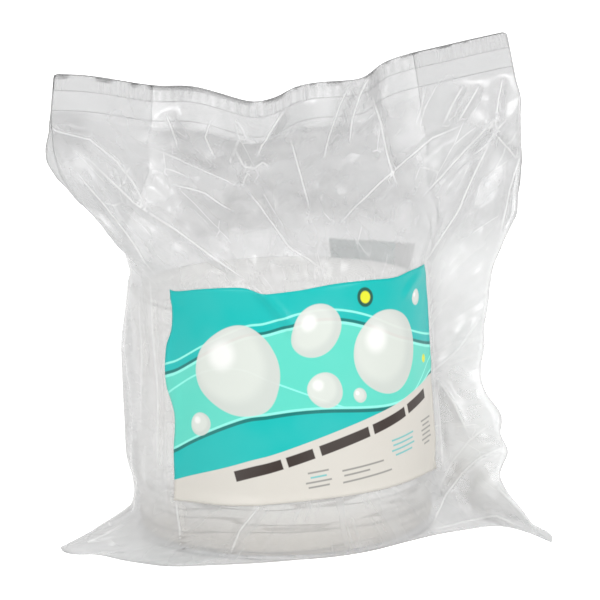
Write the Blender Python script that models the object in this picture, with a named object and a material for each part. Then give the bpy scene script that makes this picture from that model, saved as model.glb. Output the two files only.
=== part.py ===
"""A refill pack of wet wipes: one coreless roll of wipes in a clear, side-gusseted film bag.

The roll stands on the bag's floor. The bag hugs the roll, carries a loose wing of film on its
right side, and closes in above the roll to a flat heat-sealed top with both gussets folded in.
A label sits on the front and a smaller one on the back right.
Metres, +Z up. The front is -Y. The origin is on the underside, below the middle of the roll.
"""

import math

import bmesh
import bpy
from mathutils import Vector

# The roll of wipes
ROLL_DIAMETER = 0.184
ROLL_HEIGHT = 0.152
ROLL_EDGE_RADIUS = 0.005
ROLL_SIDES = 72

# The film bag, lying flat: two faces and two gussets
FACE_WIDTH = 0.292
GUSSET_DEPTH = 0.066
FILM_THICKNESS = 0.0002
BAG_HEIGHT = 0.295

# How the filled bag stands
ROLL_CLEARANCE = 0.0006
LAYER_GAP = 0.0010
MOUTH_SHIFT = 0.007
MOUTH_SAG = 0.027
HUG_MARGIN = 0.003
SHOULDER_RISE = 0.070
WING_REACH = 0.039
WING_WAIST = 0.012
WING_SWING = 0.025
WING_ROOT_MARGIN = 4.0
WING_ROOT_PULL = 0.3
WING_TIP_PULL = 0.45
FRONT_FOLD_ANGLE = 185.0
BACK_FOLD_ANGLE = 160.0
GUSSET_SHARE = 0.7
PLEAT_RAMP = 0.012

# The bottom corners of the film, which lie on the table as ears
LEFT_EAR_REACH = 0.055
LEFT_EAR_ANGLE = 182.0
LEFT_EAR_HEIGHT = 0.014
FRONT_CORNER_REACH = 0.050
FRONT_CORNER_ANGLE = 218.0
FRONT_CORNER_SPREAD = 28.0
RIGHT_EAR_REACH = 0.083
RIGHT_EAR_ANGLE = 321.0
RIGHT_EAR_HEIGHT = 0.033
RIGHT_EAR_TUCK = 3.0
EAR_STEEPNESS = 0.6

# The film's outline on the table behind the ears
HEEL_REACH = 0.012
RIGHT_SIDE_ANGLE = -18.0
RIGHT_HEEL_ANGLE = 20.0
HEEL_SPREAD = 20.0
BACK_REACH = 0.006

# The heat seals across the top
SEAL_WIDTH = 0.011
SECOND_SEAL_DROP = 0.024
SECOND_SEAL_WIDTH = 0.004
SEAL_STEP = 0.001
SEAL_PINCH = 0.55

# The labels: one centred on its angle around the roll, one set off from the back right fold
FRONT_LABEL_WIDTH = 0.203
FRONT_LABEL_HEIGHT = 0.129
FRONT_LABEL_ABOVE_EAR = 0.002
FRONT_LABEL_ANGLE = 270.0
BACK_LABEL_WIDTH = 0.064
BACK_LABEL_HEIGHT = 0.102
BACK_LABEL_BELOW_TOP = 0.004
BACK_LABEL_FROM_FOLD = 0.003
LABEL_THICKNESS = 0.0002
LABEL_CLEARANCE = 0.0003
LABEL_CORNER = 0.0015

# How finely the shapes are divided
ARC_STEP_ANGLE = 6.1
WING_STEPS = 6
HEEL_STEPS = 4
BACK_ARC_STEPS = 19
GUSSET_STEPS = 3
LABEL_STEP = 0.0073
ROLL_EDGE_STEPS = 3
EAR_SHARES = (0.15, 0.33, 0.6, 1.0)
HUG_SHARES = (0.33, 0.66, 1.0)
SHOULDER_SHARES = (0.1, 0.24, 0.4, 0.56, 0.72, 0.87, 1.0)

# Worked out from the sizes above
ROLL_RADIUS = ROLL_DIAMETER / 2
WALL_RADIUS = ROLL_RADIUS + ROLL_CLEARANCE + FILM_THICKNESS / 2
LABEL_OFFSET = FILM_THICKNESS / 2 + LABEL_CLEARANCE
LABEL_RADIUS = WALL_RADIUS + LABEL_OFFSET
ROLL_FOOT = FILM_THICKNESS + ROLL_CLEARANCE
FRONT_LABEL_FOOT = RIGHT_EAR_HEIGHT + FRONT_LABEL_ABOVE_EAR
FRONT_LABEL_END = FRONT_LABEL_ANGLE + math.degrees(FRONT_LABEL_WIDTH / 2 / LABEL_RADIUS)
WING_ROOT_ANGLE = FRONT_LABEL_END + WING_ROOT_MARGIN
FRONT_ARC_STEPS = math.ceil((WING_ROOT_ANGLE - FRONT_FOLD_ANGLE) / ARC_STEP_ANGLE)
HUG_TOP =max(ROLL_FOOT + ROLL_HEIGHT, FRONT_LABEL_FOOT + FRONT_LABEL_HEIGHT) + HUG_MARGIN
BACK_LABEL_FOOT = HUG_TOP - BACK_LABEL_BELOW_TOP - BACK_LABEL_HEIGHT


def clear_scene():
    for old in list(bpy.data.objects):
        bpy.data.objects.remove(old, do_unlink=True)


def plain_material(name, colour, roughness, alpha=1.0):
    material = bpy.data.materials.new(name)
    material.use_nodes = True
    shader = material.node_tree.nodes["Principled BSDF"]
    shader.inputs["Base Color"].default_value = (*colour, 1.0)
    shader.inputs["Roughness"].default_value = roughness
    shader.inputs["Metallic"].default_value = 0.0
    shader.inputs["Alpha"].default_value = alpha
    return material


def object_from(name, shape, material):
    """Turns a bmesh into a named, smooth-shaded object."""
    mesh = bpy.data.meshes.new(name)
    shape.to_mesh(mesh)
    shape.free()
    mesh.materials.append(material)
    mesh.shade_smooth()
    mesh.set_sharp_from_angle(angle=math.radians(35))
    made = bpy.data.objects.new(name, mesh)
    bpy.context.scene.collection.objects.link(made)
    return made


def give_wall(thing, thickness, offset):
    """A film or paper wall. Offset -1 grows it inwards, 0 both ways, 1 outwards."""
    wall = thing.modifiers.new("wall", "SOLIDIFY")
    wall.thickness = thickness
    wall.offset = offset
    wall.use_even_offset = False


def smooth(value, start, end):
    """0 up to start, 1 from end on, and an even curve between."""
    share = min(max((value - start) / (end - start), 0.0), 1.0)
    return share * share * (3.0 - 2.0 * share)


def around(radius, degrees):
    """The point at this radius and angle about the roll's axis."""
    turn = math.radians(degrees)
    return Vector((radius * math.cos(turn), radius * math.sin(turn)))


def arc(radius, start, end):
    """Points every degree along an arc about the roll's axis, ends included."""
    steps = max(int(round(abs(end - start))), 1)
    return [around(radius, start + (end - start) * i / steps) for i in range(steps + 1)]


def bezier(start, pull_start, pull_end, end, steps=12):
    """Points along a cubic curve, both ends included."""
    points = []
    for i in range(steps + 1):
        t = i / steps
        s = 1.0 - t
        points.append(s**3 * start + 3 * s * s * t * pull_start + 3 * s * t * t * pull_end + t**3 * end)
    return points


def resample(line, steps, cut_start=0.0, cut_end=0.0):
    """Steps + 1 points at even distances along a polyline, with its ends cut back."""
    lengths = [0.0]
    for a, b in zip(line, line[1:]):
        lengths.append(lengths[-1] + (b - a).length)
    points = []
    at = 0
    for i in range(steps + 1):
        along = cut_start + (lengths[-1] - cut_start - cut_end) * i / steps
        while at < len(line) - 2 and lengths[at + 1] < along:
            at += 1
        share = (along - lengths[at]) / (lengths[at + 1] - lengths[at])
        points.append(line[at].lerp(line[at + 1], share))
    return points


def panel(*parts):
    """A panel's points: the fold that it starts from, then each part's line in its own steps."""
    cut = LAYER_GAP / 2
    points = [parts[0][0][0]]
    for at, (line, steps) in enumerate(parts):
        last = at == len(parts) - 1
        stretch = resample(line, steps, cut if at == 0 else 0.0, cut if last else 0.0)
        points += stretch if last else stretch[:-1]
    return points


def halves(line):
    """Cuts a polyline into two of equal length."""
    fine = resample(line, 24)
    return fine[:13], fine[12:]


def ring_of(front, right, back, left):
    """One ring of points: the front's parts, a gusset, the back's parts and the other gusset."""
    ring = panel(*front)
    for half in right:
        ring += panel((half, GUSSET_STEPS))
    ring += panel(*back)
    for half in left:
        ring += panel((half, GUSSET_STEPS))
    return ring


def wing_tip(height):
    """Where the loose wing of film ends: nearest to the roll at half height."""
    middle = (HUG_TOP + RIGHT_EAR_HEIGHT) / 2
    half = (HUG_TOP - RIGHT_EAR_HEIGHT) / 2
    slack = min(abs(height - middle) / half, 1.0)
    return Vector((WALL_RADIUS + WING_REACH - WING_WAIST * (1.0 - slack * slack), -WING_SWING))


def back_lines():
    """The back around the roll: straight from the right fold to where it touches, then an arc."""
    widest = wing_tip(HUG_TOP)
    touch = math.degrees(math.atan2(widest.y, widest.x) + math.acos(WALL_RADIUS / widest.length))
    heel = around(WALL_RADIUS, touch)
    return [widest.lerp(heel, GUSSET_SHARE), heel], arc(WALL_RADIUS, touch, BACK_FOLD_ANGLE)


def hugging_ring(height):
    """The bag around the roll: an arc, with the loose wing of film on the right."""
    tip = wing_tip(height)
    root = around(WALL_RADIUS, WING_ROOT_ANGLE)
    root_pull = root + WING_ROOT_PULL * (tip - root).length * around(1.0, WING_ROOT_ANGLE + 90)
    wing = bezier(root, root_pull, tip.lerp(root, WING_TIP_PULL), tip)
    front = ((arc(WALL_RADIUS, FRONT_FOLD_ANGLE, WING_ROOT_ANGLE), FRONT_ARC_STEPS), (wing, WING_STEPS))
    loose, tight = back_lines()
    back = ((loose, HEEL_STEPS), (tight, BACK_ARC_STEPS))
    left = halves(arc(WALL_RADIUS, BACK_FOLD_ANGLE, FRONT_FOLD_ANGLE))
    return ring_of(front, halves([tip, loose[0]]), back, left)


def foot_ring():
    """The bag's outline on the table, with an ear of flat film to the left and one to the right."""
    left_corner = around(WALL_RADIUS + FRONT_CORNER_REACH, FRONT_CORNER_ANGLE)
    left_tip = around(WALL_RADIUS + LEFT_EAR_REACH, LEFT_EAR_ANGLE)
    right_tip = around(WALL_RADIUS + RIGHT_EAR_REACH, RIGHT_EAR_ANGLE)
    heel = around(WALL_RADIUS + HEEL_REACH, RIGHT_HEEL_ANGLE)
    left_heel = around(WALL_RADIUS + HEEL_REACH, BACK_FOLD_ANGLE)
    front_arc = arc(WALL_RADIUS, FRONT_CORNER_ANGLE + FRONT_CORNER_SPREAD, RIGHT_EAR_ANGLE - RIGHT_EAR_TUCK)
    front = (([left_corner] + front_arc, FRONT_ARC_STEPS), ([front_arc[-1], right_tip], WING_STEPS))
    right = halves([right_tip, around(WALL_RADIUS + HEEL_REACH, RIGHT_SIDE_ANGLE), heel])
    behind = arc(WALL_RADIUS + BACK_REACH, RIGHT_HEEL_ANGLE + HEEL_SPREAD, BACK_FOLD_ANGLE - HEEL_SPREAD)
    back = (([heel, behind[0]], HEEL_STEPS), (behind + [left_heel], BACK_ARC_STEPS))
    return ring_of(front, right, back, ([left_heel, left_tip], [left_tip, left_corner]))


def folded_ring(pinch):
    """The flat top of the bag: faces outside, gussets folded in between them.

    Where the gussets don't reach, the two faces lie close together. Pinch narrows every gap.
    """
    gap = LAYER_GAP * pinch
    edge = FACE_WIDTH / 2
    inner = edge - GUSSET_DEPTH

    def face(side, start, end, steps):
        line = []
        for i in range(steps + 1):
            x = start + (end - start) * i / steps
            apart = gap * (0.5 + smooth(abs(x), inner - PLEAT_RAMP, inner - PLEAT_RAMP / 3))
            line.append(Vector((x, side * apart)))
        return line

    def pleat(side, layer):
        return [Vector((side * edge, layer * gap / 2)), Vector((side * inner, layer * gap / 2))]

    split = edge * (1.0 - 2.0 * WING_STEPS / (FRONT_ARC_STEPS + WING_STEPS))
    front = ((face(-1, -edge, split, 60), FRONT_ARC_STEPS), (face(-1, split, edge, 20), WING_STEPS))
    split = edge * (1.0 - 2.0 * HEEL_STEPS / (BACK_ARC_STEPS + HEEL_STEPS))
    back = ((face(1, edge, split, 20), HEEL_STEPS), (face(1, split, -edge, 60), BACK_ARC_STEPS))
    right = (pleat(1, -1), pleat(1, 1)[::-1])
    left = (pleat(-1, 1), pleat(-1, -1)[::-1])
    ring = ring_of(front, right, back, left)
    fold_places = (
        (0, -edge, -gap),
        (FRONT_ARC_STEPS + WING_STEPS + 2, edge, -gap),
        (FRONT_ARC_STEPS + WING_STEPS + GUSSET_STEPS + 4, inner, 0.0),
        (FRONT_ARC_STEPS + WING_STEPS + 2 * GUSSET_STEPS + 6, edge, gap),
        (len(ring) - 2 * GUSSET_STEPS - 4, -edge, gap),
        (len(ring) - GUSSET_STEPS - 2, -inner, 0.0),
    )
    for at, x, y in fold_places:
        ring[at] = Vector((x, y))
    return [point + Vector((MOUTH_SHIFT, 0.0)) for point in ring]


def outside_roll(point):
    """The point itself, or the nearest one on the film's arc where it would cut into the roll."""
    return point * max(WALL_RADIUS / point.length, 1.0)


def ear_heights():
    """How high the ears' influence goes at each point of a ring: low on the left, high on the right."""
    heights = []
    for point in foot_ring():
        side = smooth(point.x, -0.5 * ROLL_RADIUS, 0.5 * ROLL_RADIUS)
        heights.append(LEFT_EAR_HEIGHT + (RIGHT_EAR_HEIGHT - LEFT_EAR_HEIGHT) * side)
    return heights


def heights_of_rings():
    """The heights at which the bag's section is drawn, with how far each is pinched flat."""
    foot = FILM_THICKNESS / 2
    second = BAG_HEIGHT - SECOND_SEAL_DROP
    rings = [(foot, 1.0)]
    for share in EAR_SHARES:
        rings.append((foot + RIGHT_EAR_HEIGHT * share, 1.0))
    for share in HUG_SHARES:
        rings.append((RIGHT_EAR_HEIGHT + (HUG_TOP - RIGHT_EAR_HEIGHT) * share, 1.0))
    for share in SHOULDER_SHARES:
        rings.append((HUG_TOP + (second - SECOND_SEAL_WIDTH - HUG_TOP) * share, 1.0))
    rings += [(second, SEAL_PINCH), (second + SECOND_SEAL_WIDTH, 1.0)]
    rings += [(BAG_HEIGHT - SEAL_WIDTH - SEAL_STEP, 1.0), (BAG_HEIGHT - SEAL_WIDTH, SEAL_PINCH)]
    rings.append((BAG_HEIGHT, SEAL_PINCH))
    return rings


def bag_sections():
    """Every ring of the bag in turn, from the table to the mouth."""
    foot = foot_ring()
    ears = ear_heights()
    closed_at = BAG_HEIGHT - SECOND_SEAL_DROP - SECOND_SEAL_WIDTH
    sections = []
    for height, pinch in heights_of_rings():
        on_table = height <= FILM_THICKNESS
        hug = hugging_ring(height)
        flat = folded_ring(pinch)
        spread = smooth(height, HUG_TOP, HUG_TOP + SHOULDER_RISE)
        close = min(max((height - HUG_TOP) / (closed_at - HUG_TOP), 0.0), 1.0)
        sag = close * close
        section = []
        for low, mid, high, ear in zip(foot, hug, flat, ears):
            rise = 0.0 if on_table else smooth(height, -EAR_STEEPNESS * ear, ear)
            point = outside_roll(low.lerp(mid, rise))
            x = point.x + (high.x - point.x) * spread
            y = point.y + (high.y - point.y) * close
            dip = 0.5 + 0.5 * math.cos(math.pi * (x - MOUTH_SHIFT) / (FACE_WIDTH / 2))
            section.append(Vector((x, y, height - MOUTH_SAG * sag * dip)))
        sections.append(section)
    return sections


def make_film_bag():
    """The bag as one folded film: rings joined into a tube, closed below, its mouth a narrow slit."""
    shape = bmesh.new()
    rings = [[shape.verts.new(point) for point in section] for section in bag_sections()]
    for below, above in zip(rings, rings[1:]):
        for i in range(len(below)):
            j = (i + 1) % len(below)
            shape.faces.new((below[i], below[j], above[j], above[i]))
    shape.faces.new(rings[0][::-1])
    bmesh.ops.recalc_face_normals(shape, faces=shape.faces)
    bag = object_from("film_bag", shape, plain_material("clear_film", (0.80, 0.81, 0.81), 0.22, 0.35))
    give_wall(bag, FILM_THICKNESS, 0.0)
    return bag


def make_wipes_roll():
    """The wound web as one solid with soft edges."""
    shape = bmesh.new()
    bmesh.ops.create_cone(
        shape,
        cap_ends=True,
        segments=ROLL_SIDES,
        radius1=ROLL_RADIUS,
        radius2=ROLL_RADIUS,
        depth=ROLL_HEIGHT,
    )
    rims = [edge for edge in shape.edges if abs(edge.verts[0].co.z - edge.verts[1].co.z) < 1e-6]
    bmesh.ops.bevel(
        shape,
        geom=rims,
        offset=ROLL_EDGE_RADIUS,
        segments=ROLL_EDGE_STEPS,
        profile=0.5,
        affect="EDGES",
        material=-1,
    )
    bmesh.ops.translate(shape, verts=shape.verts, vec=(0.0, 0.0, ROLL_FOOT + ROLL_HEIGHT / 2))
    return object_from("wipes_roll", shape, plain_material("wipes_web", (0.80, 0.77, 0.73), 0.9))


def front_label_line():
    """The line that the front label follows, from its left end to its right."""
    half_turn = FRONT_LABEL_END - FRONT_LABEL_ANGLE
    return arc(LABEL_RADIUS, FRONT_LABEL_ANGLE - half_turn, FRONT_LABEL_END)


def back_label_line():
    """The line that the back label follows: the bag's back, from just past the right fold."""
    loose, tight = back_lines()
    path = loose + tight[1:]
    line = []
    for before, point, after in zip(path[:1] + path, path, path[1:] + path[-1:]):
        along = (after - before).normalized()
        line.append(point + LABEL_OFFSET * Vector((along.y, -along.x)))
    length = sum((b - a).length for a, b in zip(line, line[1:]))
    steps = math.ceil(length / LABEL_STEP)
    rest = length - BACK_LABEL_FROM_FOLD - BACK_LABEL_WIDTH
    return resample(line, steps, BACK_LABEL_FROM_FOLD, rest)


def make_label(name, line, height, foot, material):
    """A printed film label bent along a line in plan, with its corners cut off."""
    length = sum((b - a).length for a, b in zip(line, line[1:]))
    steps = max(math.ceil(length / LABEL_STEP), 2)
    inner = resample(line, steps, LABEL_CORNER, LABEL_CORNER)
    shape = bmesh.new()
    columns = []
    for place in [line[0]] + inner + [line[-1]]:
        inset = LABEL_CORNER if place in (line[0], line[-1]) else 0.0
        low = shape.verts.new((place.x, place.y, foot + inset))
        high = shape.verts.new((place.x, place.y, foot + height - inset))
        columns.append((low, high))
    for (low, high), (next_low, next_high) in zip(columns, columns[1:]):
        shape.faces.new((low, next_low, next_high, high))
    label = object_from(name, shape, material)
    give_wall(label, LABEL_THICKNESS, 1.0)
    return label


def main():
    clear_scene()
    make_wipes_roll()
    make_film_bag()
    make_label(
        "front_label",
        front_label_line(),
        FRONT_LABEL_HEIGHT,
        FRONT_LABEL_FOOT,
        plain_material("front_print", (0.0, 0.45, 0.41), 0.35),
    )
    make_label(
        "back_label",
        back_label_line(),
        BACK_LABEL_HEIGHT,
        BACK_LABEL_FOOT,
        plain_material("back_print", (0.45, 0.58, 0.55), 0.45),
    )


main()
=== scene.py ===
"""The looks of a refill pack of wet wipes: a roll of wet nonwoven web in a clear gusseted film bag.

The film is one tube, laid round the roll from its bottom seal to its top seal, crumpled by a short
cloth simulation and creased where the real film is. The labels are laid on the crumpled film.
Lengths are metres, angles are degrees round the roll from +X, and +Z is up. The front is -Y.
"""

import math

import bmesh
import bpy
from mathutils import Matrix, Vector, noise
from mathutils.bvhtree import BVHTree


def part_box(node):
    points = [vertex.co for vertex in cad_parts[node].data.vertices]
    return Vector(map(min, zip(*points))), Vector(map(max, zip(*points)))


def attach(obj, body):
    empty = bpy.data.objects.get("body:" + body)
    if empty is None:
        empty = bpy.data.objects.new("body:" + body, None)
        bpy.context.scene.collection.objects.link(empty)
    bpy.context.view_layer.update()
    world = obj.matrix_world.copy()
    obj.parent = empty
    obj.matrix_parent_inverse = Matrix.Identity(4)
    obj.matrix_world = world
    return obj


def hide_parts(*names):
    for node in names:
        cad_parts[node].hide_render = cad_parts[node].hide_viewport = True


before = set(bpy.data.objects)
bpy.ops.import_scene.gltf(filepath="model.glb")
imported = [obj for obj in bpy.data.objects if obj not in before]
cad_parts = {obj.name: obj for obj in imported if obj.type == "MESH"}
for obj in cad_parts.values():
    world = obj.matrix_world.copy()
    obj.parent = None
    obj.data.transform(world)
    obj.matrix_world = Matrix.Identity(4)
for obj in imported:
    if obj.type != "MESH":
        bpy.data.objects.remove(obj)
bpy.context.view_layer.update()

# The photograph's frame and the camera that took it, as worked out from the roll and the label
PHOTO_SIZE = 600
CAMERA_AZIMUTH = -15.16
CAMERA_ELEVATION = 11.48
CAMERA_ROLL = 1.73
CAMERA_DISTANCE = 2.2
CAMERA_FOCAL_PIXELS = 3551.0
CAMERA_SENSOR = 36.0
CAMERA_AIM_SIDE = 0.0126
CAMERA_AIM_HEIGHT = 0.1407

# The roll, from the frame
ROLL_LOW, ROLL_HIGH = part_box("wipes_roll")
ROLL_RADIUS = ROLL_HIGH.x
ROLL_FOOT = ROLL_LOW.z
ROLL_TOP = ROLL_HIGH.z

# The film: its flat size, and how many columns and rows of cells it is made in
FACE_WIDTH = 0.292
GUSSET_DEPTH = 0.066
FILM_WALL = 0.00012
PLEAT_COLUMNS = 12
MIDDLE_COLUMNS = 30
FACE_COLUMNS = MIDDLE_COLUMNS + 2 * PLEAT_COLUMNS
ROUND_COLUMNS = 2 * FACE_COLUMNS + 4 * PLEAT_COLUMNS
ROWS_BELOW = 6
ROWS_AT_EARS = 8
ROWS_ROUND_ROLL = 26
ROWS_OF_SHOULDER = 23
ROWS_OF_SEAL = 9

# How the film stands round the roll
FILM_GAP = 0.0009
FILM_RADIUS = ROLL_RADIUS + FILM_GAP
ROLL_CLEAR = 0.001
HUG_TOP = 0.167
EAR_TOP = 0.034
SEAL_FOOT = 0.268
BAG_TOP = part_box("film_bag")[1].z
SHOULDER_RISE = 0.072
LAYER_GAP = 0.0007
LEFT_BULGE = 0.007
LEFT_BULGE_HEIGHTS = (0.015, 0.050, 0.110, 0.160)
LEFT_BULGE_ANGLES = (125.0, 165.0, 192.0, 208.0)
LEFT_RIPPLES = 26
RIPPLE_DEPTH = 0.15
RIPPLE_TWIST = 12.0
FRONT_FOLD_ANGLE = 200.0
BACK_FOLD_ANGLE = 130.0
WING_ROOT_ANGLE = 336.5
GUSSET_LEAN = 0.35
GUSSET_STOP = 0.25
BACK_FOLD_STEP = 0.0015
EAR_SPREAD = (0.014, 0.020)

# The right edge of the film by height: how far right, and how far to the front
RIGHT_EDGE = (
    (0.025, 0.130, -0.072),
    (0.034, 0.122, -0.062),
    (0.046, 0.131, -0.055),
    (0.053, 0.125, -0.050),
    (0.065, 0.127, -0.045),
    (0.077, 0.122, -0.038),
    (0.092, 0.1185, -0.032),
    (0.106, 0.1205, -0.030),
    (0.134, 0.129, -0.022),
    (0.153, 0.134, -0.016),
    (0.176, 0.148, -0.010),
    (0.213, 0.157, -0.004),
    (0.246, 0.160, 0.000),
    (0.264, 0.159, 0.000),
    (0.296, 0.153, 0.000),
)

# The left edge of the film by height, above the roll
LEFT_EDGE = (
    (0.167, -0.0925),
    (0.179, -0.0945),
    (0.188, -0.103),
    (0.1965, -0.113),
    (0.2155, -0.1285),
    (0.2265, -0.1355),
    (0.247, -0.1415),
    (0.264, -0.1415),
    (0.296, -0.1375),
)

# The height of the top edge across the bag, and how far it waves to the front and back
TOP_EDGE = (
    (-0.1385, 0.2915),
    (-0.1139, 0.2887),
    (-0.0755, 0.2804),
    (-0.0497, 0.2775),
    (-0.0316, 0.2720),
    (-0.0144, 0.2669),
    (0.0024, 0.2691),
    (0.0140, 0.2733),
    (0.0537, 0.2762),
    (0.0628, 0.2800),
    (0.0813, 0.2868),
    (0.1136, 0.2935),
    (0.1540, 0.2990),
)
TOP_WAVE = (
    (-0.141, 0.000),
    (-0.080, -0.001),
    (-0.045, 0.005),
    (-0.010, -0.006),
    (0.030, 0.005),
    (0.058, -0.005),
    (0.072, 0.006),
    (0.110, -0.001),
    (0.152, 0.002),
)

# The film's outline on the table: from the left ear's tip round the front to the right ear's tip,
# then on round the back to the left ear again
BOTTOM_SEAL = (
    (-0.147, -0.009),
    (-0.100, -0.012),
    (-0.040, -0.022),
    (0.040, -0.030),
    (0.095, -0.034),
    (0.125, -0.066),
    (0.137, -0.1115),
)
FRONT_FOOT = (
    (-0.147, -0.009),
    (-0.1495, -0.024),
    (-0.142, -0.034),
    (-0.1315, -0.037),
    (-0.121, -0.057),
    (-0.110, -0.071),
    (-0.098, -0.083),
    (-0.077, -0.088),
    (-0.050, -0.094),
    (-0.018, -0.0965),
    (0.020, -0.095),
    (0.057, -0.0795),
    (0.075, -0.071),
    (0.096, -0.0655),
    (0.118, -0.062),
    (0.130, -0.082),
    (0.137, -0.1115),
)
RIGHT_FOOT = ((0.137, -0.1115), (0.144, -0.086), (0.128, -0.040), (0.106, 0.030))
BACK_FOOT = (
    (0.106, 0.030),
    (0.078, 0.071),
    (0.035, 0.097),
    (-0.030, 0.098),
    (-0.078, 0.069),
    (-0.107, 0.036),
)
LEFT_FOOT = ((-0.107, 0.036), (-0.128, 0.014), (-0.147, -0.009))

# The cloth simulation, and where it holds the film: on the table, at the top seal and under the label
SIM_FRAMES = 32
SIM_START_WAVES = 0.003
SIM_WAVE_SCALE = 45.0
SIM_GAP = 0.0006
CLOTH = {
    "quality": 6,
    "mass": 0.02,
    "air_damping": 3.0,
    "tension_stiffness": 30.0,
    "compression_stiffness": 30.0,
    "shear_stiffness": 20.0,
    "bending_stiffness": 0.03,
    "shrink_min": 0.0,
    "shrink_max": -0.05,
    "vertex_group_mass": "held",
    "vertex_group_shrink": "slack",
}
CLOTH_GRAVITY = 0.2
HELD_FOOT = 0.004
HELD_SEAL = 0.262
HELD_ANGLES = (204.0, 212.0, 330.0, 336.0)
HELD_HEIGHTS = (0.020, 0.035, 0.158, 0.170)
SLACK_HEIGHTS = (0.150, 0.185)
SLACK_WING = (0.095, 0.110)
LEAST_SLACK = 0.25

# Folds of the film, each along a line of the photograph's pixels: how far it stands out, in metres,
# how far its flanks reach to either side, in pixels, and the line
FOLDS = {
    "long_left_ridge": (0.0045, 7, 13, ((82, 153), (134, 203), (176, 230), (220, 262), (249, 283))),
    "lower_left_ridge": (0.0035, 6, 9, ((75, 170), (105, 205), (135, 243), (157, 275))),
    "upper_left_ridge": (0.0030, 5, 12, ((157, 152), (190, 167), (220, 180), (240, 190))),
    "gusset_end": (0.0025, 5, 9, ((46, 120), (55, 131), (90, 140), (115, 160), (135, 185), (150, 215))),
    "star_top": (0.0050, 8, 8, ((285, 110), (268, 135), (256, 160))),
    "star_left": (0.0035, 7, 7, ((233, 150), (243, 168), (252, 172))),
    "star_right": (0.0030, 6, 6, ((252, 172), (262, 165), (270, 170))),
    "star_foot": (0.0040, 6, 6, ((252, 165), (245, 180), (241, 192))),
    "long_middle_ridge": (0.0035, 6, 12, ((243, 188), (260, 207), (275, 228), (290, 250), (330, 275))),
    "left_bowl": (-0.0040, 22, 22, ((170, 185), (205, 195), (235, 215))),
    "left_pane": (0.0035, 12, 12, ((165, 112), (172, 130), (178, 150))),
    "second_pane": (0.0035, 14, 10, ((212, 118), (205, 138), (215, 160))),
    "middle_pane": (-0.0035, 12, 12, ((290, 140), (300, 175), (310, 215))),
    "kink_ridge": (0.0040, 6, 10, ((371, 74), (360, 95), (352, 120), (349, 150))),
    "kink_valley": (-0.0035, 6, 8, ((352, 80), (340, 105), (330, 135), (322, 165))),
    "right_pane_ridge": (0.0040, 7, 9, ((372, 96), (381, 125), (386, 160), (397, 190))),
    "right_dark_fold": (-0.0045, 6, 10, ((462, 125), (432, 138), (400, 165), (376, 187), (334, 230))),
    "right_second_fold": (-0.0040, 7, 9, ((500, 112), (465, 150), (440, 178), (420, 198))),
    "right_bright_fold": (0.0045, 6, 9, ((491, 138), (472, 178), (459, 207), (440, 238), (422, 265))),
    "right_upper_streak": (0.0035, 5, 6, ((463, 86), (452, 105), (443, 124))),
    "right_upper_streak_two": (0.0035, 5, 6, ((480, 84), (468, 105), (456, 124))),
    "right_corner_ridge": (0.0040, 6, 7, ((503, 76), (498, 100), (494, 130))),
    "right_star": (0.0045, 6, 6, ((485, 120), (493, 133), (505, 147), (516, 160))),
    "right_star_arm": (0.0030, 6, 6, ((470, 158), (484, 146), (494, 132), (508, 118))),
    "edge_dent": (-0.0040, 9, 12, ((521, 150), (508, 190), (500, 235))),
    "wing_fan_one": (0.0030, 6, 8, ((432, 372), (452, 400), (468, 432))),
    "wing_fan_two": (0.0025, 6, 8, ((432, 372), (455, 352), (480, 318))),
    "wing_fan_three": (-0.0025, 7, 7, ((436, 380), (440, 420), (443, 470))),
    "wing_knee": (0.0050, 7, 11, ((503, 447), (480, 458), (463, 472), (445, 495), (432, 526))),
    "wing_knee_shade": (-0.0015, 9, 9, ((490, 425), (470, 440), (452, 462), (438, 490))),
    "right_ear_ridge": (0.0035, 6, 8, ((430, 530), (462, 522), (495, 515), (525, 528))),
    "right_ear_back": (0.0030, 6, 8, ((497, 487), (515, 505), (535, 527))),
    "left_ear_ridge": (0.0030, 6, 8, ((60, 548), (95, 540), (130, 520))),
    "left_ear_crease": (0.0025, 5, 7, ((108, 518), (112, 538), (122, 556))),
    "label_top_fold": (0.0030, 5, 10, ((249, 283), (266, 297), (284, 318), (300, 340))),
    "label_left_dent": (-0.0030, 8, 8, ((175, 300), (186, 330), (192, 365))),
    "label_corner_fold": (0.0030, 5, 7, ((425, 268), (412, 284), (402, 300))),
    "left_front_crease": (0.0035, 5, 8, ((176, 500), (180, 530), (181, 562))),
    "front_foot_crease": (0.0030, 6, 8, ((262, 503), (240, 530), (228, 560))),
    "left_side_crease": (0.0025, 5, 7, ((150, 275), (153, 330), (158, 390), (157, 490))),
    "left_side_crease_two": (0.0020, 5, 6, ((139, 290), (142, 350), (141, 430))),
}

# The rise of a fold that shows fully, the lowest point that folds, how a fold fades towards its ends,
# and the pixels in a unit of the distance that is marked round its line, with where the mark fades
STRONG_FOLD = 0.0045
LOWEST_FOLD = 0.0015
FOLD_END_FADE = (-0.02, 0.22)
FOLD_MARK_UNIT = 100.0
FOLD_MARK_FADE = (0.050, 0.090)

# Where the faces lie together below the top seal, so that they fold as one
FACES_MEET = (0.235, 0.258)

# Crumples all over the loose film: the size of a facet, how far its edges stand out, and their flanks
FACET_SIZE = 0.046
FACET_RISE = 0.0020
SMALL_FACET_SIZE = 0.018
SMALL_FACET_RISE = 0.0005
FACET_FLANK = 0.5

# Where the film is loose enough to crumple, and how much of that is left elsewhere
LOOSE_FOOT = (0.002, 0.020)
LOOSE_ABOVE = (0.158, 0.180)
LOOSE_WING = (0.096, 0.108)
WING_LOOSENESS = 0.65
LEAST_LOOSENESS = 0.07
SEAL_STIFF = (0.262, 0.272)
SEAL_STIFFNESS = 0.75
CORNER_FLAT = (0.070, 0.095)
CORNER_FLAT_HEIGHT = (0.225, 0.245)
CORNER_FLATNESS = 0.8

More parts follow.
